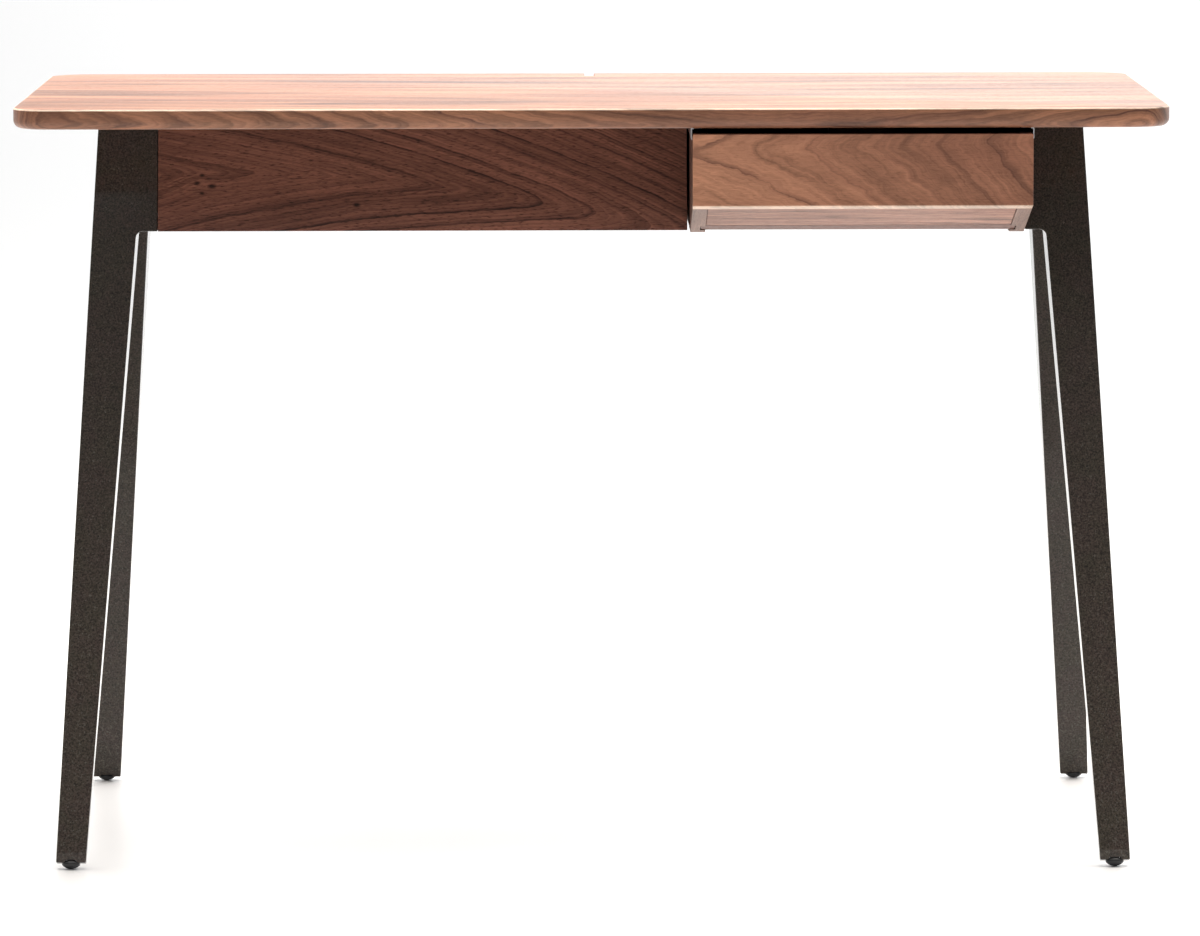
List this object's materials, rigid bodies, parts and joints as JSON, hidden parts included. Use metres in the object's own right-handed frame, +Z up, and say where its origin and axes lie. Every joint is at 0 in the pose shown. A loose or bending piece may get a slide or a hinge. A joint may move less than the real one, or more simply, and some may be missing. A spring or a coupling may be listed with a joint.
{
  "type": "writing desk",
  "caption": "Writing desk with a thin solid wood top, four leaning black cast legs in side pairs, a fixed apron panel, a hung drawer with a sloped underside and levelling glides.",
  "frame": {"origin": "on the floor, under the middle of the top", "axes": "+X to the right along the desk's width as a seated user sees it, +Y to the back, +Z up; the user sits at -Y"},
  "size_m": [1.15, 0.6, 0.764],
  "materials": {
    "top_walnut": "oiled, satin",
    "dark_walnut": "oiled, satin",
    "warm_walnut": "oiled, satin",
    "light_walnut": "sanded, matt",
    "black_iron": "fine sand-textured black coat",
    "zinc_steel": "zinc plated",
    "glide_plastic": "smooth moulded"
  },
  "bodies": {
    "desk": {"back_apron": "dark_walnut", "back_left_leg": "black_iron", "back_right_leg": "black_iron", "drawer_divider": "dark_walnut", "drawer_stop": "dark_walnut", "drawer_stop_screw": "zinc_steel", "front_apron": "dark_walnut", "front_left_leg": "black_iron", "front_right_leg": "black_iron", "left_leg_bridge": "black_iron", "left_plate_screw_1": "zinc_steel", "left_plate_screw_2": "zinc_steel", "left_plate_screw_3": "zinc_steel", "left_plate_screw_4": "zinc_steel", "left_runner": "zinc_steel", "left_runner_screw_1": "zinc_steel", "left_runner_screw_2": "zinc_steel", "left_runner_screw_3": "zinc_steel", "left_top_plate": "black_iron", "right_leg_bridge": "black_iron", "right_plate_screw_1": "zinc_steel", "right_plate_screw_2": "zinc_steel", "right_plate_screw_3": "zinc_steel", "right_plate_screw_4": "zinc_steel", "right_runner": "zinc_steel", "right_runner_screw_1": "zinc_steel", "right_runner_screw_2": "zinc_steel", "right_runner_screw_3": "zinc_steel", "right_top_plate": "black_iron", "tabletop": "top_walnut", "top_clip_1": "zinc_steel", "top_clip_2": "zinc_steel", "top_clip_3": "zinc_steel", "top_clip_4": "zinc_steel", "top_clip_5": "zinc_steel", "top_clip_6": "zinc_steel", "top_clip_screw_1": "zinc_steel", "top_clip_screw_2": "zinc_steel", "top_clip_screw_3": "zinc_steel", "top_clip_screw_4": "zinc_steel", "top_clip_screw_5": "zinc_steel", "top_clip_screw_6": "zinc_steel"},
    "drawer": {"drawer_back": "light_walnut", "drawer_bottom": "warm_walnut", "drawer_front": "warm_walnut", "drawer_left_side": "light_walnut", "drawer_right_side": "light_walnut", "drawer_sloped_board": "light_walnut"},
    "front_left_glide": {"front_left_glide_pad": "glide_plastic", "front_left_glide_stud": "zinc_steel"},
    "front_right_glide": {"front_right_glide_pad": "glide_plastic", "front_right_glide_stud": "zinc_steel"},
    "back_left_glide": {"back_left_glide_pad": "glide_plastic", "back_left_glide_stud": "zinc_steel"},
    "back_right_glide": {"back_right_glide_pad": "glide_plastic", "back_right_glide_stud": "zinc_steel"}
  },
  "joints": [
    {"name": "drawer_slide", "type": "slide", "parent": "desk", "child": "drawer", "axis": [0, -1, 0], "range_m": [0, 0.25]},
    {"name": "front_left_glide_screw", "type": "slide", "parent": "desk", "child": "front_left_glide", "axis": [0, -0.2668, -0.9638], "range_m": [0, 0.01]},
    {"name": "front_right_glide_screw", "type": "slide", "parent": "desk", "child": "front_right_glide", "axis": [0, -0.2668, -0.9638], "range_m": [0, 0.01]},
    {"name": "back_left_glide_screw", "type": "slide", "parent": "desk", "child": "back_left_glide", "axis": [0, 0.2668, -0.9638], "range_m": [0, 0.01]},
    {"name": "back_right_glide_screw", "type": "slide", "parent": "desk", "child": "back_right_glide", "axis": [0, 0.2668, -0.9638], "range_m": [0, 0.01]}
  ]
}
